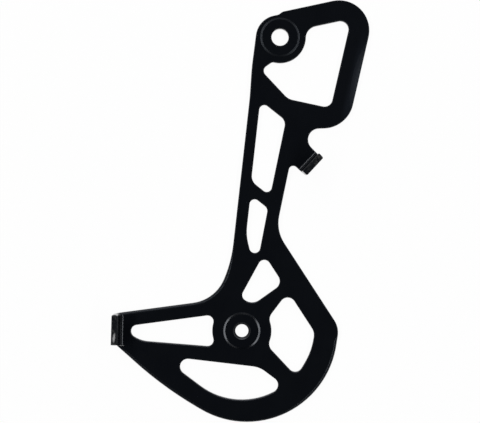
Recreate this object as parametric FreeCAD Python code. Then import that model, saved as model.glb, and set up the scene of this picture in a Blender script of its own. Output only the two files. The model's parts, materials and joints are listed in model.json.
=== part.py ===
import FreeCAD, Part
import math
import os

# Inner cage plate of a long-cage rear derailleur: one sheet, pierced and folded.
# It lies on its back face in the plane z = 0, with the origin on the guide pulley's axis. The tension
# pulley's axis is along -Y, and +Z points to the side where the pulleys run.

# Sizes are in millimetres and angles in degrees. A slope is measured from the X axis, a lean from the
# Y axis and a tilt from the sheet's face. A reach is the distance from a pulley's axis to a straight
# side.

# Sheet and folds.
SHEET = 2.0
FOLD_INSIDE_R = 1.5
EAR_HEIGHT = 10.0
FRONT_EDGE_R = 0.3
FOOT_EDGE_R = 1.0
BACK_EDGE_R = 0.5
WINDOW_EDGE_BREAK = 0.3
EAR_END_BREAK = 0.2

# Pulley axes, their holes and the raised seats round them.
PULLEY_SPACING = 93.0
GUIDE_HOLE_D = 5.4
TENSION_THREAD_PITCH_D = 4.48
GUIDE_HOLE_BREAK = 0.3
TENSION_HOLE_BREAK = 0.5
SEAT_HEIGHT = 0.2
SEAT_SLOPE_RUN = 0.6
GUIDE_SEAT_D = 11.2
TENSION_SEAT_D = 10.5

# Loop round the guide pulley.
LOOP_REACH = 27.1
LOOP_LEAN = 5.6
LOOP_TOP_REACH = 7.7
LOOP_TOP_SLOPE = 19.5
LOOP_BOTTOM_REACH = 29.0
LOOP_BOTTOM_SLOPE = 9.0
LOOP_TOP_R = 9.5
LOOP_BOTTOM_R = 9.5
LOOP_RAIL = 6.6
LEAD_IN_WIDTH = 2.2
LEAD_IN_LENGTH = 25.0
LEAD_IN_DROP = 6.5
LEAD_IN_INNER_TILT = 4.0
LEAD_IN_OUTER_TILT = 13.0

# Shoulder: the loop's top side steps in before it turns round the guide seat.
SHOULDER_STEP = 0.65
SHOULDER_START = 2.5
SHOULDER_RAMP = 24.0
SHOULDER_R = 1.5
GUIDE_LAND_R = 7.1
NECK_REACH = 7.6
NECK_DROP = 10.5
NECK_R = 60.0

# Arm between the two pulleys: half widths at a drop below the guide axis or a rise above the other.
ARM_LEFT_TOP = 7.0
ARM_LEFT_TOP_DROP = 20.0
ARM_LEFT_FOOT = 6.2
ARM_LEFT_FOOT_RISE = 27.0
ARM_RIGHT_TOP = 8.0
ARM_RIGHT_TOP_DROP = 42.5
ARM_RIGHT_FOOT = 7.0
ARM_RIGHT_FOOT_RISE = 37.5
ARM_LEFT_R = 80.0

# Foot round the tension pulley, from the throat past the tip and the rim to the crook.
THROAT_REACH = 11.6
THROAT_LEAN = 16.0
THROAT_UPPER_R = 40.0
THROAT_LOWER_R = 12.5
TIP_TOP_REACH = 10.7
TIP_TOP_SLOPE = 15.0
TIP_REACH = 40.4
TIP_LEAN = 5.8
TIP_WIDTH = 12.55
RIM_R = 28.5
RIM_OFFSET = 1.6
RIM_START_SLOPE = 22.6
BELLY_RUN = 14.0
BELLY_R = 120.0
HEEL_R = 7.0
DIAGONAL_REACH = 26.2
DIAGONAL_LEAN = 40.4
CROOK_R = 11.6

# Ears: the tip ear stands at the lower left, the arm ear beside the arm.
TIP_EAR_WIDTH = 9.9
TIP_EAR_TAPER = 6.0
TIP_SLIT = 0.15
ARM_EAR_STEP = 3.1
ARM_EAR_SLOPE = 54.6
ARM_EAR_LOWER_REACH = 26.45
ARM_EAR_ROOT = 7.65
ARM_EAR_TAPER = 3.0
ARM_EAR_ROOT_R = 1.4
NOTCH_R = 3.5

# Window inside the loop.
GUIDE_WINDOW_LAND_R = 8.1
LOOP_WINDOW_FLOOR_REACH = 18.4
LOOP_WINDOW_FLOOR_SLOPE = 4.8
LOOP_WINDOW_BRACE_REACH = 11.4
LOOP_WINDOW_BRACE_SLOPE = 39.4
LOOP_WINDOW_NOSE_REACH = 5.0
LOOP_WINDOW_NOSE_SLOPE = 42.0
LOOP_WINDOW_CORNER_R = 2.6
LOOP_WINDOW_BRACE_R = 4.5
LOOP_WINDOW_NOSE_R = 1.8
LOOP_WINDOW_LAND_FILLET = 3.9
LOOP_WINDOW_JOG_FILLET = 1.2

# Slots along the arm, with a slanting rib between them.
SLOT_SLANT = 31.0
UPPER_SLOT_TOP_REACH = 19.4
UPPER_SLOT_LEFT_WALL = 3.4
UPPER_SLOT_FOOT_R = 3.5
LOWER_SLOT_LEFT_WALL = 3.7
UPPER_SLOT_RIGHT_WALL = 4.1
SLOT_RIB_REACH = 35.2
SLOT_RIB = 3.5
SLOT_CORNER_R = 1.6
UPPER_SLOT_TOP_R = 2.9
LOWER_SLOT_TOP_R = 2.0
LOWER_SLOT_RIGHT_REACH = 0.7
LOWER_SLOT_RIGHT_LEAN = 3.6
LOWER_SLOT_TAPER_REACH = 8.4
LOWER_SLOT_TAPER_LEAN = 21.0
LOWER_SLOT_SIDE_R = 15.0
LOWER_SLOT_NOSE_R = 1.7

# Triangle above the tension pulley and the window to its right, along the diagonal rail.
DIAGONAL_RAIL = 7.3
TRIANGLE_LEFT_REACH = 5.5
TRIANGLE_LEFT_LEAN = 21.3
TRIANGLE_FLOOR_REACH = 8.5
TRIANGLE_FLOOR_SLOPE = 27.0
TRIANGLE_BRACE_REACH = 4.7
TRIANGLE_BRACE_SLOPE = 42.7
TRIANGLE_SMALL_R = 1.9
TRIANGLE_RIGHT_R = 2.7
TRIANGLE_FLOOR_R = 3.8
TENSION_WINDOW_LAND_R = 9.3
RIGHT_WINDOW_LEFT_REACH = 4.2
RIGHT_WINDOW_LEFT_LEAN = 29.7
RIGHT_WINDOW_BRACE_REACH = 2.7
RIGHT_WINDOW_BRACE_SLOPE = 39.5
RIGHT_WINDOW_RIM_WALL = 7.8
RIGHT_WINDOW_RIM_LEAN = 24.0
RIGHT_WINDOW_RIM_R = 21.5
RIGHT_WINDOW_HEEL_WALL = 7.4
RIGHT_WINDOW_TOP_R = 2.5
RIGHT_WINDOW_HEEL_R = 4.0
RIGHT_WINDOW_FOOT_R = 2.3
RIGHT_WINDOW_LAND_FILLET = 3.0

# Crescent under the tension pulley and the wedge to its left.
CRESCENT_TOP_REACH = 10.7
CRESCENT_TOP_SLOPE = 0.7
CRESCENT_SHOULDER_REACH = 5.8
CRESCENT_SHOULDER_SLOPE = 29.5
CRESCENT_RIM_R = 21.7
CRESCENT_RIM_START_SLOPE = 29.5
CRESCENT_RIM_END_SLOPE = 33.8
CRESCENT_END_R = 2.5
CRESCENT_SHOULDER_R = 8.0
TIP_RAIL = 4.5
WEDGE_FLOOR_REACH = 5.7
WEDGE_FLOOR_SLOPE = 2.8
WEDGE_TIP_WALL = 2.1
WEDGE_NOSE_SLOPE = 25.0
WEDGE_NOSE_R = 2.0
WEDGE_FLOOR_R = 9.5
WEDGE_LAND_FILLET = 1.9

# Share of a side that the roundings at its two ends may take.
ROUNDED_SHARE = 0.998

# Room by which a cutting tool runs past what it cuts, and the tolerance for finding edges.
OVERRUN = 5.0
NEAR = 1e-4

GUIDE = FreeCAD.Vector(0, 0, 0)
TENSION = FreeCAD.Vector(0, -PULLEY_SPACING, 0)
RIM_CENTRE = TENSION + FreeCAD.Vector(RIM_OFFSET, 0, 0)
UP = FreeCAD.Vector(0, 0, 1)


class Side:
    """A straight side of an outline: a point on it and its direction of travel, metal on the left."""

    def __init__(self, point, direction):
        self.point = point
        self.direction = direction
        self.left = UP.cross(direction)

    def distance(self, point):
        """How far a point lies to the left of the side."""
        return (point - self.point).dot(self.left)


def towards(degrees):
    """Unit vector in the sheet's plane with a heading."""
    angle = math.radians(degrees)
    return FreeCAD.Vector(math.cos(angle), math.sin(angle), 0)


def side_past(centre, reach, degrees):
    """Side with a heading that passes a centre at a distance, with the centre on its left."""
    direction = towards(degrees)
    return Side(centre - UP.cross(direction) * reach, direction)


def side_between(start, end):
    return Side(start, (end - start).normalize())


def inset(side, wall):
    """Parallel side, moved to the left."""
    return Side(side.point + side.left * wall, side.direction)


def facing(side, gap):
    """Parallel side that runs the other way, a gap to the right."""
    return Side(side.point - side.left * gap, side.direction * -1)


def nearest(side, point):
    return point - side.left * side.distance(point)


def meet(first, second):
    """Corner where two sides cross."""
    along = -second.distance(first.point) / first.direction.dot(second.left)
    return first.point + first.direction * along


def rounded_face(corners):
    """Face inside a closed run of corners, each a point and the radius that rounds it.

    Where two roundings leave too little of the side between them, both shrink.
    """
    count = len(corners)
    sides = []
    runs = []
    for i, (corner, radius) in enumerate(corners):
        before = corner - corners[i - 1][0]
        after = corners[(i + 1) % count][0] - corner
        sides.append(after)
        runs.append(radius * math.tan(before.getAngle(after) / 2))
    room = []
    for i, side in enumerate(sides):
        taken = runs[i] + runs[(i + 1) % count]
        room.append(min(1.0, ROUNDED_SHARE * side.Length / max(taken, NEAR)))
    starts = []
    ends = []
    arcs = []
    for i, (corner, radius) in enumerate(corners):
        before = FreeCAD.Vector(sides[i - 1]).normalize()
        after = FreeCAD.Vector(sides[i]).normalize()
        run = runs[i] * min(room[i - 1], room[i])
        start = corner - before * run
        end = corner + after * run
        starts.append(start)
        ends.append(end)
        if radius:
            half_turn = before.getAngle(after) / 2
            rise = run * math.cos(half_turn) * math.tan(half_turn / 2)
            crown = (start + end) / 2 + (before - after).normalize() * rise
            arcs.append([Part.Arc(start, crown, end).toShape()])
        else:
            arcs.append([])
    edges = []
    for i, arc in enumerate(arcs):
        edges.extend(arc)
        edges.append(Part.LineSegment(ends[i], starts[(i + 1) % count]).toShape())
    return Part.Face(Part.Wire(edges))


def through_tool(face):
    """Prism that cuts a face's outline through the whole sheet."""
    return face.extrude(UP * (SHEET + 2 * OVERRUN)).translate(UP * -OVERRUN)


def landed_window(corners, centre, land_r, fillets):
    """Window tool that stays clear of a round land; fillets pair a side with its radius at the land."""
    tool = through_tool(rounded_face(corners))
    tool = tool.cut(Part.makeCylinder(land_r, SHEET + 2 * OVERRUN, centre - UP * OVERRUN))
    for side, radius in fillets:
        corner_edges = []
        for edge in tool.Edges:
            foot = edge.CenterOfMass - UP * edge.CenterOfMass.z
            on_land = abs(foot.distanceToPoint(centre) - land_r) < NEAR
            if on_land and abs(side.distance(foot)) < NEAR:
                corner_edges.append(edge)
        tool = tool.makeFillet(radius, corner_edges)
    return tool


# Sides of the loop, the shoulder and the neck.
loop_right = side_past(GUIDE, LOOP_REACH, 90 - LOOP_LEAN)
loop_top = side_past(GUIDE, LOOP_TOP_REACH, 180 + LOOP_TOP_SLOPE)
loop_bottom = side_past(GUIDE, LOOP_BOTTOM_REACH, LOOP_BOTTOM_SLOPE)
shoulder = inset(loop_top, SHOULDER_STEP)
ramp_start = nearest(loop_top, GUIDE) - loop_top.direction * SHOULDER_START
ramp = Side(ramp_start, towards(180 + LOOP_TOP_SLOPE + SHOULDER_RAMP))
neck = side_past(GUIDE, NECK_REACH, -90)
neck_end = nearest(neck, GUIDE) + neck.direction * NECK_DROP

# Sides of the arm.
arm_left_top = GUIDE + FreeCAD.Vector(-ARM_LEFT_TOP, -ARM_LEFT_TOP_DROP, 0)
arm_left_foot = TENSION + FreeCAD.Vector(-ARM_LEFT_FOOT, ARM_LEFT_FOOT_RISE, 0)
arm_left = side_between(arm_left_top, arm_left_foot)
arm_right_foot = TENSION + FreeCAD.Vector(ARM_RIGHT_FOOT, ARM_RIGHT_FOOT_RISE, 0)
arm_right_top = GUIDE + FreeCAD.Vector(ARM_RIGHT_TOP, -ARM_RIGHT_TOP_DROP, 0)
arm_right = side_between(arm_right_foot, arm_right_top)

# Sides of the foot.
throat = side_past(TENSION, THROAT_REACH, -90 - THROAT_LEAN)
tip_top = side_past(TENSION, TIP_TOP_REACH, 180 + TIP_TOP_SLOPE)
rim_start = side_past(RIM_CENTRE, RIM_R, -RIM_START_SLOPE)
rim_right = side_past(RIM_CENTRE, RIM_R, 90)
diagonal = side_past(TENSION, DIAGONAL_REACH, 90 + DIAGONAL_LEAN)
belly_knee = nearest(rim_start, RIM_CENTRE) - rim_start.direction * BELLY_RUN

# Folds: an ear's outer face, and the line behind it where the flat sheet starts to bend.
FOLD_RUN = FOLD_INSIDE_R + SHEET
tip_face = side_past(TENSION, TIP_REACH, TIP_LEAN - 90)
tip_fold = inset(tip_face, FOLD_RUN)
tip_fold_top = meet(tip_top, tip_fold)
tip_fold_foot = tip_fold_top + tip_fold.direction * TIP_WIDTH
belly = side_between(tip_fold_foot, belly_knee)
tip_face_top = meet(tip_top, tip_face)
tip_ear_foot = Side(tip_face_top + tip_face.direction * TIP_EAR_WIDTH, tip_face.left)
tip_slit = facing(tip_ear_foot, TIP_SLIT)
arm_ear_lower = side_past(GUIDE, ARM_EAR_LOWER_REACH, ARM_EAR_SLOPE - 90)
arm_fold_foot = meet(arm_right, arm_ear_lower) + arm_ear_lower.direction * ARM_EAR_STEP
arm_fold = Side(arm_fold_foot, towards(ARM_EAR_SLOPE))
arm_ear_face = inset(arm_fold, -FOLD_RUN)
arm_fold_top = arm_fold_foot + arm_fold.direction * ARM_EAR_ROOT
arm_ear_upper = Side(arm_fold_top, towards(ARM_EAR_SLOPE + 90 - ARM_EAR_TAPER))


def blank():
    """Flat part of the sheet, up to where the ears start to bend."""
    face = rounded_face([
        (meet(loop_right, loop_top), LOOP_TOP_R),
        (meet(loop_top, ramp), SHOULDER_R),
        (meet(ramp, shoulder), SHOULDER_R),
        (meet(shoulder, neck), GUIDE_LAND_R),
        (neck_end, NECK_R),
        (arm_left_top, ARM_LEFT_R),
        (meet(arm_left, throat), THROAT_UPPER_R),
        (meet(throat, tip_top), THROAT_LOWER_R),
        (tip_fold_top, 0),
        (meet(tip_fold, tip_slit), 0),
        (meet(tip_slit, belly), 0),
        (tip_fold_foot, 0),
        (belly_knee, BELLY_R),
        (meet(rim_start, rim_right), RIM_R),
        (meet(rim_right, diagonal), HEEL_R),
        (meet(diagonal, arm_right), CROOK_R),
        (meet(arm_right, arm_ear_lower), ARM_EAR_ROOT_R),
        (arm_fold_foot, 0),
        (arm_fold_top, 0),
        (meet(arm_ear_upper, loop_bottom), NOTCH_R),
        (meet(loop_bottom, loop_right), LOOP_BOTTOM_R),
    ])
    return face.extrude(UP * SHEET)


def windows():
    """Tools for the seven openings that lighten the plate."""
    loop_inner_right = inset(loop_right, LOOP_RAIL)
    loop_inner_top = inset(loop_top, LOOP_RAIL)
    loop_nose = side_past(GUIDE, -LOOP_WINDOW_NOSE_REACH, 180 + LOOP_WINDOW_NOSE_SLOPE)
    loop_brace = side_past(GUIDE, LOOP_WINDOW_BRACE_REACH, -LOOP_WINDOW_BRACE_SLOPE)
    loop_floor = side_past(GUIDE, LOOP_WINDOW_FLOOR_REACH, -LOOP_WINDOW_FLOOR_SLOPE)
    loop_window = landed_window(
        [
            (meet(loop_inner_right, loop_inner_top), LOOP_WINDOW_CORNER_R),
            (nearest(loop_inner_top, GUIDE), 0),
            (nearest(loop_nose, GUIDE), 0),
            (meet(loop_nose, loop_brace), LOOP_WINDOW_NOSE_R),
            (meet(loop_brace, loop_floor), LOOP_WINDOW_BRACE_R),
            (meet(loop_floor, loop_inner_right), LOOP_WINDOW_CORNER_R),
        ],
        GUIDE,
        GUIDE_WINDOW_LAND_R,
        [(loop_inner_top, LOOP_WINDOW_LAND_FILLET), (loop_nose, LOOP_WINDOW_JOG_FILLET)],
    )

    upper_right = inset(arm_right, UPPER_SLOT_RIGHT_WALL)
    lower_right = side_past(TENSION, LOWER_SLOT_RIGHT_REACH, 90 - LOWER_SLOT_RIGHT_LEAN)
    upper_left = inset(arm_left, UPPER_SLOT_LEFT_WALL)
    lower_left = inset(arm_left, LOWER_SLOT_LEFT_WALL)
    upper_top = side_past(GUIDE, -UPPER_SLOT_TOP_REACH, 180 - SLOT_SLANT)
    lower_top = side_past(TENSION, SLOT_RIB_REACH, 180 - SLOT_SLANT)
    upper_floor = facing(lower_top, SLOT_RIB)
    lower_taper = side_past(TENSION, -LOWER_SLOT_TAPER_REACH, LOWER_SLOT_TAPER_LEAN - 90)
    upper_slot = through_tool(rounded_face([
        (meet(upper_right, upper_top), UPPER_SLOT_TOP_R),
        (meet(upper_top, upper_left), SLOT_CORNER_R),
        (meet(upper_left, upper_floor), UPPER_SLOT_FOOT_R),
        (meet(upper_floor, upper_right), SLOT_CORNER_R),
    ]))
    lower_slot = through_tool(rounded_face([
        (meet(lower_right, lower_top), LOWER_SLOT_TOP_R),
        (meet(lower_top, lower_left), SLOT_CORNER_R),
        (meet(lower_left, lower_taper), LOWER_SLOT_SIDE_R),
        (meet(lower_taper, lower_right), LOWER_SLOT_NOSE_R),
    ]))

    rail_inner = inset(diagonal, DIAGONAL_RAIL)
    triangle_left = side_past(TENSION, TRIANGLE_LEFT_REACH, -90 - TRIANGLE_LEFT_LEAN)
    triangle_floor = side_past(TENSION, -TRIANGLE_FLOOR_REACH, -TRIANGLE_FLOOR_SLOPE)
    triangle_brace = side_past(TENSION, -TRIANGLE_BRACE_REACH, TRIANGLE_BRACE_SLOPE)
    triangle = through_tool(rounded_face([
        (meet(rail_inner, triangle_left), TRIANGLE_SMALL_R),
        (meet(triangle_left, triangle_floor), TRIANGLE_SMALL_R),
        (meet(triangle_floor, triangle_brace), TRIANGLE_FLOOR_R),
        (meet(triangle_brace, rail_inner), TRIANGLE_RIGHT_R),
    ]))

    right_left = side_past(TENSION, -RIGHT_WINDOW_LEFT_REACH, -90 - RIGHT_WINDOW_LEFT_LEAN)
    right_brace = side_past(TENSION, -RIGHT_WINDOW_BRACE_REACH, -RIGHT_WINDOW_BRACE_SLOPE)
    right_rim = side_past(RIM_CENTRE, RIM_R - RIGHT_WINDOW_RIM_WALL, 90 - RIGHT_WINDOW_RIM_LEAN)
    right_heel = inset(rim_right, RIGHT_WINDOW_HEEL_WALL)
    right_window = landed_window(
        [
            (meet(rail_inner, right_left), RIGHT_WINDOW_TOP_R),
            (nearest(right_left, TENSION), 0),
            (nearest(right_brace, TENSION), 0),
            (meet(right_brace, right_rim), RIGHT_WINDOW_FOOT_R),
            (meet(right_rim, right_heel), RIGHT_WINDOW_RIM_R),
            (meet(right_heel, rail_inner), RIGHT_WINDOW_HEEL_R),
        ],
        TENSION,
        TENSION_WINDOW_LAND_R,
        [(right_left, RIGHT_WINDOW_LAND_FILLET), (right_brace, RIGHT_WINDOW_LAND_FILLET)],
    )

    crescent_top = side_past(TENSION, -CRESCENT_TOP_REACH, 180 + CRESCENT_TOP_SLOPE)
    crescent_shoulder = side_past(TENSION, -CRESCENT_SHOULDER_REACH, 180 - CRESCENT_SHOULDER_SLOPE)
    crescent_left = side_past(TENSION, CRESCENT_RIM_R, -CRESCENT_RIM_START_SLOPE)
    crescent_right = side_past(TENSION, CRESCENT_RIM_R, CRESCENT_RIM_END_SLOPE)
    crescent = through_tool(rounded_face([
        (meet(crescent_shoulder, crescent_top), CRESCENT_SHOULDER_R),
        (meet(crescent_top, crescent_left), CRESCENT_END_R),
        (meet(crescent_left, crescent_right), CRESCENT_RIM_R),
        (meet(crescent_right, crescent_shoulder), CRESCENT_END_R),
    ]))

    wedge_top = inset(tip_top, TIP_RAIL)
    nose_centre = meet(inset(wedge_top, WEDGE_NOSE_R), inset(tip_fold, WEDGE_TIP_WALL + WEDGE_NOSE_R))
    wedge_nose = side_past(nose_centre, WEDGE_NOSE_R, -WEDGE_NOSE_SLOPE)
    wedge_floor = side_past(TENSION, WEDGE_FLOOR_REACH, WEDGE_FLOOR_SLOPE)
    wedge = landed_window(
        [
            (nearest(wedge_top, TENSION), 0),
            (meet(wedge_top, wedge_nose), WEDGE_NOSE_R),
            (meet(wedge_nose, wedge_floor), WEDGE_FLOOR_R),
            (nearest(wedge_floor, TENSION), 0),
        ],
        TENSION,
        TENSION_WINDOW_LAND_R,
        [(wedge_top, WEDGE_LAND_FILLET), (wedge_floor, WEDGE_LAND_FILLET)],
    )
    return [loop_window, upper_slot, lower_slot, triangle, right_window, crescent, wedge]


def ear(fold, corners):
    """Ear that bends up from a fold line: an L section along the fold, cut to the ear's plan."""
    out = fold.left * -1
    start = fold.point - fold.direction * PULLEY_SPACING

    def at(run, height):
        return start + out * run + UP * height

    slope = math.sqrt(0.5)
    outer_middle = at(FOLD_RUN * slope, FOLD_RUN * (1 - slope))
    inner_middle = at(FOLD_INSIDE_R * slope, FOLD_RUN - FOLD_INSIDE_R * slope)
    section = Part.Wire([
        Part.Arc(at(0, 0), outer_middle, at(FOLD_RUN, FOLD_RUN)).toShape(),
        Part.LineSegment(at(FOLD_RUN, FOLD_RUN), at(FOLD_RUN, EAR_HEIGHT)).toShape(),
        Part.LineSegment(at(FOLD_RUN, EAR_HEIGHT), at(FOLD_INSIDE_R, EAR_HEIGHT)).toShape(),
        Part.LineSegment(at(FOLD_INSIDE_R, EAR_HEIGHT), at(FOLD_INSIDE_R, FOLD_RUN)).toShape(),
        Part.Arc(at(FOLD_INSIDE_R, FOLD_RUN), inner_middle, at(0, SHEET)).toShape(),
        Part.LineSegment(at(0, SHEET), at(0, 0)).toShape(),
    ])
    strip = Part.Face(section).extrude(fold.direction * 2 * PULLEY_SPACING)
    plan = Part.Face(Part.makePolygon(corners + corners[:1]))
    return strip.common(plan.extrude(UP * EAR_HEIGHT))


def tip_taper():
    """Wedge that narrows the tip ear from its bend to its end."""
    rise = EAR_HEIGHT - FOLD_RUN
    low = meet(tip_face, tip_ear_foot) - tip_face.left * OVERRUN + UP * FOLD_RUN
    high = low + UP * rise
    inner = high - tip_face.direction * rise * math.tan(math.radians(TIP_EAR_TAPER))
    face = Part.Face(Part.makePolygon([low, high, inner, low]))
    return face.extrude(tip_face.left * (SHEET + 2 * OVERRUN))


def ears():
    tip = ear(tip_fold, [
        tip_fold_top,
        tip_face_top,
        meet(tip_face, tip_ear_foot),
        meet(tip_ear_foot, tip_fold),
    ]).cut(tip_taper())
    arm = ear(arm_fold, [
        arm_fold_foot,
        meet(arm_ear_lower, arm_ear_face),
        meet(arm_ear_face, arm_ear_upper),
        arm_fold_top,
    ])
    return [tip, arm]


def level_faces(shape, height):
    """Flat faces at a height, the largest first."""
    faces = []
    for face in shape.Faces:
        if abs(face.BoundBox.ZMin - height) < NEAR and abs(face.BoundBox.ZMax - height) < NEAR:
            faces.append(face)
    return sorted(faces, key=lambda face: -face.Area)


def window_edges(shape, height):
    face = level_faces(shape, height)[0]
    edges = []
    for wire in face.Wires:
        if not wire.isSame(face.OuterWire):
            edges.extend(wire.Edges)
    return edges


def rim_edges(shape, height):
    """Edges of the outline at a height, without the fold lines and the slit beside the tip ear."""
    edges = []
    for edge in level_faces(shape, height)[0].OuterWire.Edges:
        middle = edge.valueAt((edge.FirstParameter + edge.LastParameter) / 2)
        foot = middle - UP * middle.z
        if min(abs(side.distance(foot)) for side in (tip_fold, arm_fold, tip_slit)) > NEAR:
            edges.append(edge)
    return edges


def front_edge_r(point):
    """Rounding of the outline's front edge at a point: wide round the foot, but not at the slit."""
    below_throat = point.x < TENSION.x and point.y < meet(arm_left, throat).y
    below_axis = point.y < TENSION.y + NEAR
    at_slit = abs(tip_slit.distance(point - UP * point.z)) < NEAR
    if at_slit or not (below_throat or below_axis):
        return FRONT_EDGE_R
    return FOOT_EDGE_R


def rounded_front(plate):
    """Plate with its front edge rounded; along a side whose ends differ, the rounding grows or shrinks."""
    document = FreeCAD.newDocument()
    sharp = document.addObject("Part::Feature", "sharp")
    sharp.Shape = plate
    rounding = document.addObject("Part::Fillet", "rounding")
    rounding.Base = sharp
    edges = rim_edges(plate, SHEET)
    radii = []
    for number, edge in enumerate(plate.Edges, 1):
        for rim in edges:
            if edge.isSame(rim):
                start = front_edge_r(rim.firstVertex(True).Point)
                end = front_edge_r(rim.lastVertex(True).Point)
                radii.append((number, start, end))
    rounding.Edges = radii
    document.recompute()
    return rounding.Shape


def lead_in():
    """Tool that rolls off the outer edge of the loop's right leg along a shallow lens.

    Its section is an arc that leaves the sheet at the inner tilt and reaches the edge at the outer
    tilt. It is turned round an upright axis beside the loop, so that the lens closes at both ends:
    the lead-in's length is the chord of that turn and its width is the rise over the chord.
    """
    inner = math.radians(LEAD_IN_INNER_TILT)
    outer = math.radians(LEAD_IN_OUTER_TILT)
    roll_r = LEAD_IN_WIDTH / (math.sin(outer) - math.sin(inner))
    turn_r = LEAD_IN_LENGTH ** 2 / (8 * LEAD_IN_WIDTH) + LEAD_IN_WIDTH / 2
    middle = nearest(loop_right, GUIDE) - loop_right.direction * LEAD_IN_DROP
    axis = middle - loop_right.left * (turn_r - LEAD_IN_WIDTH)
    roll_centre = axis + loop_right.left * (turn_r + roll_r * math.sin(inner))
    roll_centre += UP * (SHEET - roll_r * math.cos(inner))

    def at(tilt):
        return roll_centre + UP * roll_r * math.cos(tilt) - loop_right.left * roll_r * math.sin(tilt)

    def above(point):
        return point + UP * (SHEET + OVERRUN - point.z)

    crown = at(0)
    low = at(2 * outer)
    section = Part.Wire([
        Part.Arc(crown, at(outer), low).toShape(),
        Part.LineSegment(low, above(low)).toShape(),
        Part.LineSegment(above(low), above(crown)).toShape(),
        Part.LineSegment(above(crown), crown).toShape(),
    ])
    return Part.Face(section).revolve(axis, UP, 360)


def seat(centre, diameter):
    base_r = diameter / 2 + SEAT_SLOPE_RUN
    return Part.makeCone(base_r, diameter / 2, SEAT_HEIGHT, centre + UP * SHEET)


def hole(centre, diameter, mouth_break):
    """Tool for a round hole through sheet and seat that widens at its mouth in the seat."""
    top = SHEET + SEAT_HEIGHT
    bore = Part.makeCylinder(diameter / 2, top, centre)
    mouth = Part.makeCone(
        diameter / 2,
        diameter / 2 + mouth_break,
        mouth_break,
        centre + UP * (top - mouth_break),
    )
    return bore.fuse(mouth)


def cage_plate():
    plate = blank().cut(windows()).Solids[0]
    plate = plate.makeChamfer(WINDOW_EDGE_BREAK, window_edges(plate, SHEET) + window_edges(plate, 0))
    plate = plate.fuse(ears()).removeSplitter().Solids[0]
    plate = rounded_front(plate)
    plate = plate.makeFillet(BACK_EDGE_R, rim_edges(plate, 0))
    ear_ends = []
    for face in level_faces(plate, EAR_HEIGHT):
        ear_ends.extend(face.Edges)
    plate = plate.makeChamfer(EAR_END_BREAK, ear_ends)
    plate = plate.cut(lead_in())
    plate = plate.fuse([seat(GUIDE, GUIDE_SEAT_D), seat(TENSION, TENSION_SEAT_D)])
    guide_hole = hole(GUIDE, GUIDE_HOLE_D, GUIDE_HOLE_BREAK)
    tension_hole = hole(TENSION, TENSION_THREAD_PITCH_D, TENSION_HOLE_BREAK)
    plate = plate.cut([guide_hole, tension_hole])
    return plate.removeSplitter().Solids[0]


os.makedirs("parts", exist_ok=True)
cage_plate().exportStep("parts/cage_plate.step")
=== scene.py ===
import bmesh
import bpy
import json
import math
from mathutils import Matrix, Vector


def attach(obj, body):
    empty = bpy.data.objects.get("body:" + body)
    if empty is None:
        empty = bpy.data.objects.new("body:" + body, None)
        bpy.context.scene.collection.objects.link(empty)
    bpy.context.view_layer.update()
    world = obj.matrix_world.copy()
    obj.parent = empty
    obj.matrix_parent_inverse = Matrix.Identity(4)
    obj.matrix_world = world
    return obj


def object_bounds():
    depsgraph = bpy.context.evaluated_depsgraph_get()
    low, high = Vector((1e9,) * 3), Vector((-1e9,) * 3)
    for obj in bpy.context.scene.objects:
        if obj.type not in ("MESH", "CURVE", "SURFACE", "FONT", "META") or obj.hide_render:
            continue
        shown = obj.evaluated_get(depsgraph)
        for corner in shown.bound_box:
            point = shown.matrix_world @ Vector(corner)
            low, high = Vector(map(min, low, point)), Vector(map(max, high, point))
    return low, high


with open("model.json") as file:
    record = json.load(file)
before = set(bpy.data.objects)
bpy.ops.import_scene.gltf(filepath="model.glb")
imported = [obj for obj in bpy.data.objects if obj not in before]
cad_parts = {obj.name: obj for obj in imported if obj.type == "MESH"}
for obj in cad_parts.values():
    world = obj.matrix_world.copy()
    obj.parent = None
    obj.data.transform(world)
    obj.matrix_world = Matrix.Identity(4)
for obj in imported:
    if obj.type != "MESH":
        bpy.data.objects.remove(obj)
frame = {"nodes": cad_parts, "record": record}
cad_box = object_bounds()

# Sizes of the plate in metres. The CAD box gives the ears' height, and the record the tapped hole.
MM = 0.001
UP = Vector((0, 0, 1))
SHEET = 0.002
EAR_HEIGHT = cad_box[1].z
TAPPED_HOLE = next(mount for mount in frame["record"]["mounts"] if mount["name"] == "tension_thread")
TENSION_X, TENSION_Y, THREAD_MIDDLE = TAPPED_HOLE["pos_m"]
TENSION_AXIS = Vector((TENSION_X, TENSION_Y, 0))

# Thread of the tapped hole. Its ridge is sunk a little into the wall and stays clear of the wall's ends.
THREAD_PITCH = 0.0008
THREAD_FLANK = math.radians(30)
THREAD_CREST_R = 0.002067
THREAD_WALL_R = TAPPED_HOLE["dims"]["r_mm"] * MM
THREAD_WALL_LENGTH = TAPPED_HOLE["dims"]["length_mm"] * MM
THREAD_START_GAP = 0.00003
THREAD_END_GAP = 0.00002
THREAD_START = THREAD_MIDDLE - THREAD_WALL_LENGTH / 2 + THREAD_START_GAP
THREAD_END = THREAD_MIDDLE + THREAD_WALL_LENGTH / 2 - THREAD_END_GAP
THREAD_FOOT_R = THREAD_WALL_R + 0.00002
THREAD_STEPS_PER_TURN = 60
THREAD_SHARP_OVER = math.radians(25)

# Colours of the dye and of the metal where marks show it.
DARK_DYE = (0.0018, 0.0023, 0.0036, 1)
LIGHT_DYE = (0.0028, 0.0035, 0.0050, 1)
# Worn strip's colour: partly wear, partly a painted sheen that carries the loop edge's highlight on.
WEAR_AND_SHEEN_DYE = (0.0030, 0.0042, 0.0070, 1)
SHEARED_METAL = (0.030, 0.030, 0.029, 1)
# Rubbed spot's colour: rubbed bare metal, painted far lighter than the dye as a painted glint.
RUBBED_METAL_AND_GLINT = (0.30, 0.30, 0.30, 1)
TAPPED_METAL = (0.022, 0.023, 0.025, 1)

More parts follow.
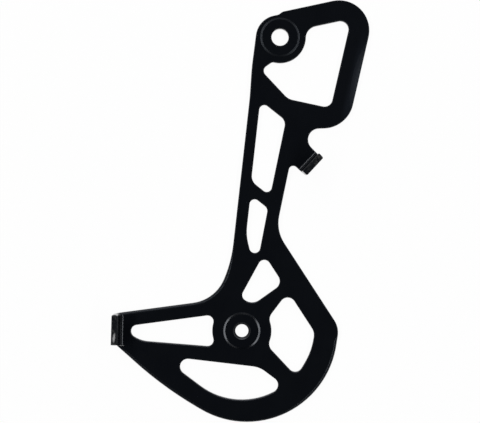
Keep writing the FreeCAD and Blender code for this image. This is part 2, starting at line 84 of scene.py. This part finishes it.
# Roughness of the satin, and what each mark adds to it.
SATIN_ROUGHNESS = 0.24
CLOUD_ROUGHNESS = 0.04
ROLLED_ROUGHNESS = 0.03
RUBBED_EDGE_ROUGHNESS = -0.02
EAR_END_ROUGHNESS = 0.06
BURNISHED_ROUGHNESS = -0.11
WORN_ROUGHNESS = 0.10

# Relief of the surface: the share of each texture, and the full depth in metres.
GRAIN_RELIEF = 0.6
ROLLED_RELIEF = 0.25
SHEAR_RELIEF = 1.2
RELIEF_DEPTH = 0.00004
RELIEF_STRENGTH = 0.08

# How closely the rolling and shearing marks repeat along X, Y and Z.
ROLLED_SPREAD = (900.0, 45.0, 900.0)
SHEAR_SPREAD = (900.0, 900.0, 400.0)

# Slopes where a mark fades, from 0 for an upright face to 1 for a level one.
RUBBED_EDGE_SLOPE = (0.35, 0.96)
BURNISHED_SLOPE = (0.955, 0.99)
POLISHED_SLOPE = (0.60, 0.90)

# Ends of the ears: the height where they start, and the X that parts the tip ear from the arm ear.
EAR_END_HEIGHT = (EAR_HEIGHT - 0.00025, EAR_HEIGHT - 0.0001)
BETWEEN_EARS = (-0.021, -0.020)
SHEAR_MARKS = (0.44, 0.68)
SHEAR_CONTRAST = 1.4

# The tip ear's end darkens across it from its outer face, and the arm ear's end brightens along it.
ACROSS_TIP_EAR = Vector((0.995, 0.097, 0.0))
TIP_EAR_DARKENS = (-0.0490, -0.0475)
TIP_EAR_LOSS = 0.8
ALONG_ARM_EAR = Vector((0.573, 0.820, 0.0))
ARM_EAR_BRIGHTENS = (-0.0262, -0.0200)
ARM_EAR_LEAST = 0.2

# Spot on the tip ear's end that is rubbed bare and painted bright as a painted glint, and how fast it
# fades along X, Y and Z.
RUB_AND_GLINT_PLACE = Vector((-0.0390, -0.0997, EAR_HEIGHT))
RUB_AND_GLINT_SPREAD = Vector((2200.0, 600.0, 600.0))
RUB_AND_GLINT_EDGE = (0.4, 1.1)
RUB_AND_GLINT_RAGGEDNESS = 1.6
NOISE_MIDDLE = 0.5

# Folds and seat slopes are burnished above the sheet's face. The guide seat, beyond this Y, is duller.
RAISED_HEIGHT = (SHEET + 0.00002, SHEET + 0.00006)
BELOW_GUIDE_SEAT = (-0.014, -0.010)
GUIDE_SEAT_DULLNESS = 1.8
POLISH = 0.30

# The tapped hole's mouth, where its break has cut through the dye.
MOUTH_BREAK = 0.0005
MOUTH_R = THREAD_WALL_R + MOUTH_BREAK
MOUTH_EDGE = (MOUTH_R, MOUTH_R + 0.00004)
IN_PLAN = (1, 1, 0)

# Strip along the loop's right edge that the chain has worn dull, its lighter colour a painted sheen:
# across it outwards, and along it up.
ACROSS_LOOP_EDGE = Vector((0.995, -0.098, 0.0))
WEAR_AND_SHEEN_ACROSS = (0.0236, 0.0257)
ALONG_LOOP_EDGE = Vector((0.098, 0.995, 0.0))
WEAR_AND_SHEEN_FROM = (-0.025, -0.015)
WEAR_AND_SHEEN_TO = (-0.004, 0.010)

# White table with an upright backdrop round its edge.
PAPER = (0.9, 0.9, 0.9, 1)
PURE_WHITE = (1, 1, 1, 1)
GLOW_SHARE = 0.96
TABLE_HEIGHT = -0.00003
TABLE_R = 6.0
BACKDROP_TOP = 1.2
TABLE_SIDES = 64

# Light: the room's faint cool glow, and each softbox's place, width, height and watts.
ROOM_COLOUR = (0.8, 0.9, 1.0, 1)
ROOM_STRENGTH = 0.02
SOFTBOXES = {
    "left_softbox": ((-0.55, -0.06, 0.78), 1.4, 0.13, 5.0),
    "right_softbox": ((0.55, -0.06, 0.78), 1.4, 0.13, 5.0),
    "top_softbox": ((-0.15, 0.80, 0.30), 0.9, 0.5, 4.0),
    "back_softbox": ((0.0, 0.51, 0.78), 1.0, 0.13, 0.5),
    "low_softbox": ((-0.225, -0.633, 0.78), 0.3, 0.13, 0.18),
}

# The photograph looks straight down on the plate, which lies a little askew in the picture.
PICTURE_CENTRE = Vector((-0.00541, -0.05591, SHEET))
PICTURE_TURN = math.radians(7.418)
PICTURE_WIDTH = 0.15069
CAMERA_HEIGHT = 0.480
CAMERA_NEAR = 0.01
CAMERA_FAR = 30.0
SENSOR_MM = 36.0


class Value:
    """What a node gives out. Arithmetic on numbers adds Math nodes to the finish."""

    def __init__(self, finish, socket):
        self.finish = finish
        self.socket = socket

    def math(self, operation, *values):
        return self.finish.add("ShaderNodeMath", {"operation": operation}, dict(enumerate(values)))

    def __add__(self, other):
        return self.math("ADD", self, other)

    def __radd__(self, other):
        return self.math("ADD", other, self)

    def __sub__(self, other):
        return self.math("SUBTRACT", self, other)

    def __rsub__(self, other):
        return self.math("SUBTRACT", other, self)

    def __mul__(self, other):
        return self.math("MULTIPLY", self, other)

    def __rmul__(self, other):
        return self.math("MULTIPLY", other, self)

    def __abs__(self):
        return self.math("ABSOLUTE", self)

    def between(self, low, high):
        """0 below low, 1 above high and a smooth rise in between."""
        settings = {"interpolation_type": "SMOOTHSTEP", "clamp": True}
        inputs = {"Value": self, "From Min": low, "From Max": high}
        return self.finish.add("ShaderNodeMapRange", settings, inputs)


class Finish:
    """A material or a world made of nodes."""

    def __init__(self, owner):
        owner.use_nodes = True
        self.nodes = owner.node_tree.nodes
        self.links = owner.node_tree.links
        self.nodes.clear()

    def add(self, kind, settings=None, inputs=None, output=0):
        """A new node with its settings and inputs. Gives one of its outputs, where it has any."""
        node = self.nodes.new(kind)
        for name, setting in (settings or {}).items():
            setattr(node, name, setting)
        for name, value in (inputs or {}).items():
            if isinstance(value, Value):
                self.links.new(value.socket, node.inputs[name])
            else:
                node.inputs[name].default_value = value
        return Value(self, node.outputs[output]) if len(node.outputs) else node

    def mix(self, factor, first, second):
        """Colour between two colours."""
        settings = {"data_type": "RGBA", "blend_type": "MIX"}
        return self.add("ShaderNodeMix", settings, {0: factor, 6: first, 7: second}, 2)

    def noise(self, place, scale, detail, roughness):
        inputs = {"Vector": place, "Scale": scale, "Detail": detail, "Roughness": roughness}
        return self.add("ShaderNodeTexNoise", {"noise_dimensions": "3D"}, inputs)

    def stretched(self, place, scale):
        return self.add("ShaderNodeVectorMath", {"operation": "MULTIPLY"}, {0: place, 1: scale})

    def distance(self, first, second):
        settings = {"operation": "DISTANCE"}
        return self.add("ShaderNodeVectorMath", settings, {0: first, 1: second}, "Value")

    def along(self, place, way):
        """How far a place lies in one direction."""
        settings = {"operation": "DOT_PRODUCT"}
        return self.add("ShaderNodeVectorMath", settings, {0: place, 1: way}, "Value")

    def part_of(self, vector, axis):
        """One coordinate of a vector."""
        return self.add("ShaderNodeSeparateXYZ", None, {0: vector}, axis)

    def show(self, shader, kind="ShaderNodeOutputMaterial"):
        self.add(kind, None, {"Surface": shader})


def sheared_ends(finish, place, height):
    """The ears' ends, their shearing marks, and where these are bare metal or rubbed bright, the rubbed
    spot's bright colour being a painted glint.
    """
    ear_end = height.between(*EAR_END_HEIGHT)
    marks = finish.noise(finish.stretched(place, SHEAR_SPREAD), scale=1.0, detail=3.0, roughness=0.7)
    at_tip = 1 - finish.part_of(place, "X").between(*BETWEEN_EARS)
    tip_shade = 1 - TIP_EAR_LOSS * finish.along(place, ACROSS_TIP_EAR).between(*TIP_EAR_DARKENS)
    arm_shade = ARM_EAR_LEAST + finish.along(place, ALONG_ARM_EAR).between(*ARM_EAR_BRIGHTENS)
    shade = at_tip * tip_shade + (1 - at_tip) * arm_shade
    bare = ear_end * shade * SHEAR_CONTRAST * marks.between(*SHEAR_MARKS)
    # Rubbed spot, painted bright as a painted glint.
    from_rub_and_glint = finish.distance(finish.stretched(place, RUB_AND_GLINT_SPREAD), RUB_AND_GLINT_PLACE * RUB_AND_GLINT_SPREAD)
    ragged = from_rub_and_glint + RUB_AND_GLINT_RAGGEDNESS * (marks - NOISE_MIDDLE)
    rub_and_glint = ear_end * (1 - ragged.between(*RUB_AND_GLINT_EDGE))
    return ear_end, marks, bare, rub_and_glint


def wear_and_sheen_strip(finish, place):
    """The strip along the loop's right edge that the chain has worn dull, its lighter colour a painted
    sheen.
    """
    along_edge = finish.along(place, ALONG_LOOP_EDGE)
    across_edge = finish.along(place, ACROSS_LOOP_EDGE)
    wear_and_sheen_length = along_edge.between(*WEAR_AND_SHEEN_FROM) * (1 - along_edge.between(*WEAR_AND_SHEEN_TO))
    return wear_and_sheen_length * across_edge.between(*WEAR_AND_SHEEN_ACROSS)


def black_anodised():
    """Satin black sheet: fine blasted grain, rubbed edges and rougher sheared ear ends."""
    material = bpy.data.materials.new("black_anodised")
    finish = Finish(material)
    place = finish.add("ShaderNodeTexCoord", output="Object")
    facing = finish.add("ShaderNodeNewGeometry", output="True Normal")
    height = finish.part_of(place, "Z")
    level = abs(finish.part_of(facing, "Z"))

    grain = finish.noise(place, scale=5200.0, detail=2.0, roughness=0.6)
    cloud = finish.noise(place, scale=130.0, detail=3.0, roughness=0.55)
    rolled = finish.noise(finish.stretched(place, ROLLED_SPREAD), scale=1.0, detail=3.0, roughness=0.6)
    ear_end, shear_marks, bare, rub_and_glint = sheared_ends(finish, place, height)
    wear_and_sheen = wear_and_sheen_strip(finish, place)
    rubbed_edge = 1 - level.between(*RUBBED_EDGE_SLOPE)
    sloped = 1 - level.between(*BURNISHED_SLOPE)
    raised_slope = sloped * height.between(*RAISED_HEIGHT)
    by_guide = finish.part_of(place, "Y").between(*BELOW_GUIDE_SEAT)
    burnished = raised_slope * (1 - GUIDE_SEAT_DULLNESS * by_guide)
    polished = raised_slope * (1 - by_guide) * level.between(*POLISHED_SLOPE)
    from_thread = finish.distance(finish.stretched(place, IN_PLAN), TENSION_AXIS)
    tapped = sloped * (1 - from_thread.between(*MOUTH_EDGE))

    colour = finish.mix(cloud, DARK_DYE, LIGHT_DYE)
    for mark, mark_colour in (
        (bare, SHEARED_METAL),
        # painted glint: the rubbed spot's bright colour
        (rub_and_glint, RUBBED_METAL_AND_GLINT),
        # painted sheen: the worn strip's lighter bluish colour
        (wear_and_sheen, WEAR_AND_SHEEN_DYE),
        (tapped, TAPPED_METAL),
    ):
        colour = finish.mix(mark, colour, mark_colour)
    roughness = SATIN_ROUGHNESS + CLOUD_ROUGHNESS * cloud
    for mark, added in (
        (rolled, ROLLED_ROUGHNESS),
        (rubbed_edge, RUBBED_EDGE_ROUGHNESS),
        (ear_end, EAR_END_ROUGHNESS),
        (burnished, BURNISHED_ROUGHNESS),
        (wear_and_sheen, WORN_ROUGHNESS),
    ):
        roughness = roughness + added * mark
    relief = GRAIN_RELIEF * grain + ROLLED_RELIEF * rolled + SHEAR_RELIEF * ear_end * shear_marks
    bump = finish.add(
        "ShaderNodeBump",
        None,
        {"Strength": RELIEF_STRENGTH, "Distance": RELIEF_DEPTH, "Height": relief},
    )
    shader = finish.add(
        "ShaderNodeBsdfPrincipled",
        None,
        {
            "Base Color": colour,
            "Roughness": roughness,
            "Metallic": 0.0,
            "IOR": 1.45,
            "Specular IOR Level": 0.228,
            "Specular Tint": (0.80, 0.88, 1.0, 1),
            "Coat Weight": POLISH * polished,
            "Coat Roughness": 0.2,
            "Normal": bump,
        },
    )
    finish.show(shader)
    return material


def pale_floor():
    """White table: it shows as white to the camera and in reflections, and keeps a faint shadow."""
    material = bpy.data.materials.new("pale_floor")
    finish = Finish(material)
    camera_ray = finish.add("ShaderNodeLightPath", output="Is Camera Ray")
    glossy_ray = finish.add("ShaderNodeLightPath", output="Is Glossy Ray")
    glass_ray = finish.add("ShaderNodeLightPath", output="Is Transmission Ray")
    seen = (camera_ray + glossy_ray + glass_ray).between(0.0, 1.0)
    paper = finish.add("ShaderNodeBsdfDiffuse", None, {"Color": PAPER})
    glow = finish.add("ShaderNodeEmission", None, {"Color": PURE_WHITE, "Strength": 1.0})
    finish.show(finish.add("ShaderNodeMixShader", None, {0: seen * GLOW_SHARE, 1: paper, 2: glow}))
    return material


def thread_ridge(material):
    """Helical ridge of the tapped hole, from the wall at pitch diameter in to the crest.

    It winds on past its start and its end and is then cut off level at both.
    """
    foot_half = THREAD_PITCH / 4 + (THREAD_FOOT_R - THREAD_WALL_R) * math.tan(THREAD_FLANK)
    crest_half = THREAD_PITCH / 8
    profile = [
        (-foot_half, THREAD_FOOT_R),
        (-crest_half, THREAD_CREST_R),
        (crest_half, THREAD_CREST_R),
        (foot_half, THREAD_FOOT_R),
    ]
    turns = (THREAD_END - THREAD_START) / THREAD_PITCH + 1
    ridge = bmesh.new()
    rings = []
    for step in range(round(turns * THREAD_STEPS_PER_TURN) + 1):
        turn = step / THREAD_STEPS_PER_TURN
        angle = 2 * math.pi * turn
        way = Vector((math.cos(angle), math.sin(angle), 0))
        middle = TENSION_AXIS + UP * (THREAD_START + THREAD_PITCH * (turn - 1 / 2))
        rings.append([ridge.verts.new(middle + way * r + UP * rise) for rise, r in profile])
    for ring, following in zip(rings, rings[1:]):
        for i, corner in enumerate(ring):
            ridge.faces.new((ring[i - 1], corner, following[i], following[i - 1]))
    for height, outward in ((THREAD_START, -UP), (THREAD_END, UP)):
        cut = bmesh.ops.bisect_plane(
            ridge,
            geom=ridge.verts[:] + ridge.edges[:] + ridge.faces[:],
            plane_co=UP * height,
            plane_no=outward,
            clear_outer=True,
        )
        rim = [piece for piece in cut["geom_cut"] if isinstance(piece, bmesh.types.BMEdge)]
        bmesh.ops.edgeloop_fill(ridge, edges=rim)
    bmesh.ops.recalc_face_normals(ridge, faces=ridge.faces[:])
    mesh = bpy.data.meshes.new("tension_thread")
    ridge.to_mesh(mesh)
    ridge.free()
    mesh.shade_smooth()
    mesh.set_sharp_from_angle(angle=THREAD_SHARP_OVER)
    mesh.materials.append(material)
    thread = bpy.data.objects.new("tension_thread", mesh)
    bpy.context.collection.objects.link(thread)
    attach(thread, "root")


def floor():
    """Round white table with an upright backdrop at its far edge."""
    corners = []
    for height in (TABLE_HEIGHT, BACKDROP_TOP):
        for step in range(TABLE_SIDES):
            angle = 2 * math.pi * step / TABLE_SIDES
            corners.append((TABLE_R * math.cos(angle), TABLE_R * math.sin(angle), height))
    faces = [tuple(range(TABLE_SIDES))]
    for step in range(TABLE_SIDES):
        after = (step + 1) % TABLE_SIDES
        faces.append((after, step, TABLE_SIDES + step, TABLE_SIDES + after))
    mesh = bpy.data.meshes.new("floor")
    mesh.from_pydata(corners, [], faces)
    mesh.materials.append(pale_floor())
    table = bpy.data.objects.new("floor", mesh)
    bpy.context.collection.objects.link(table)


def softbox(name, place, width, height, power):
    """Rectangular lamp that faces the middle of the plate."""
    lamp = bpy.data.lights.new(name, "AREA")
    lamp.shape = "RECTANGLE"
    lamp.size = width
    lamp.size_y = height
    lamp.energy = power
    holder = bpy.data.objects.new(name, lamp)
    bpy.context.collection.objects.link(holder)
    aim = PICTURE_CENTRE - Vector(place)
    turn = aim.to_track_quat("-Z", "Y").to_matrix().to_4x4()
    holder.matrix_world = Matrix.Translation(place) @ turn


def studio_light():
    """Faint room light and the softboxes above the plate."""
    world = bpy.data.worlds.new("studio")
    bpy.context.scene.world = world
    finish = Finish(world)
    room = finish.add("ShaderNodeBackground", None, {"Color": ROOM_COLOUR, "Strength": ROOM_STRENGTH})
    finish.show(room, "ShaderNodeOutputWorld")
    for name, lamp in SOFTBOXES.items():
        softbox(name, *lamp)


def photograph_camera():
    """Camera straight above the picture's centre, turned the way the picture is."""
    lens = bpy.data.cameras.new("camera")
    lens.sensor_fit = "HORIZONTAL"
    lens.sensor_width = SENSOR_MM
    lens.lens = SENSOR_MM * CAMERA_HEIGHT / PICTURE_WIDTH
    lens.clip_start = CAMERA_NEAR
    lens.clip_end = CAMERA_FAR
    camera = bpy.data.objects.new("camera", lens)
    bpy.context.collection.objects.link(camera)
    place = PICTURE_CENTRE + UP * CAMERA_HEIGHT
    camera.matrix_world = Matrix.Translation(place) @ Matrix.Rotation(PICTURE_TURN, 4, "Z")
    bpy.context.scene.camera = camera


skin = black_anodised()
plate = frame["nodes"]["cage_plate"]
plate.data.materials.clear()
plate.data.materials.append(skin)
thread_ridge(skin)
floor()
studio_light()
photograph_camera()
bpy.context.scene.view_settings.view_transform = "Standard"
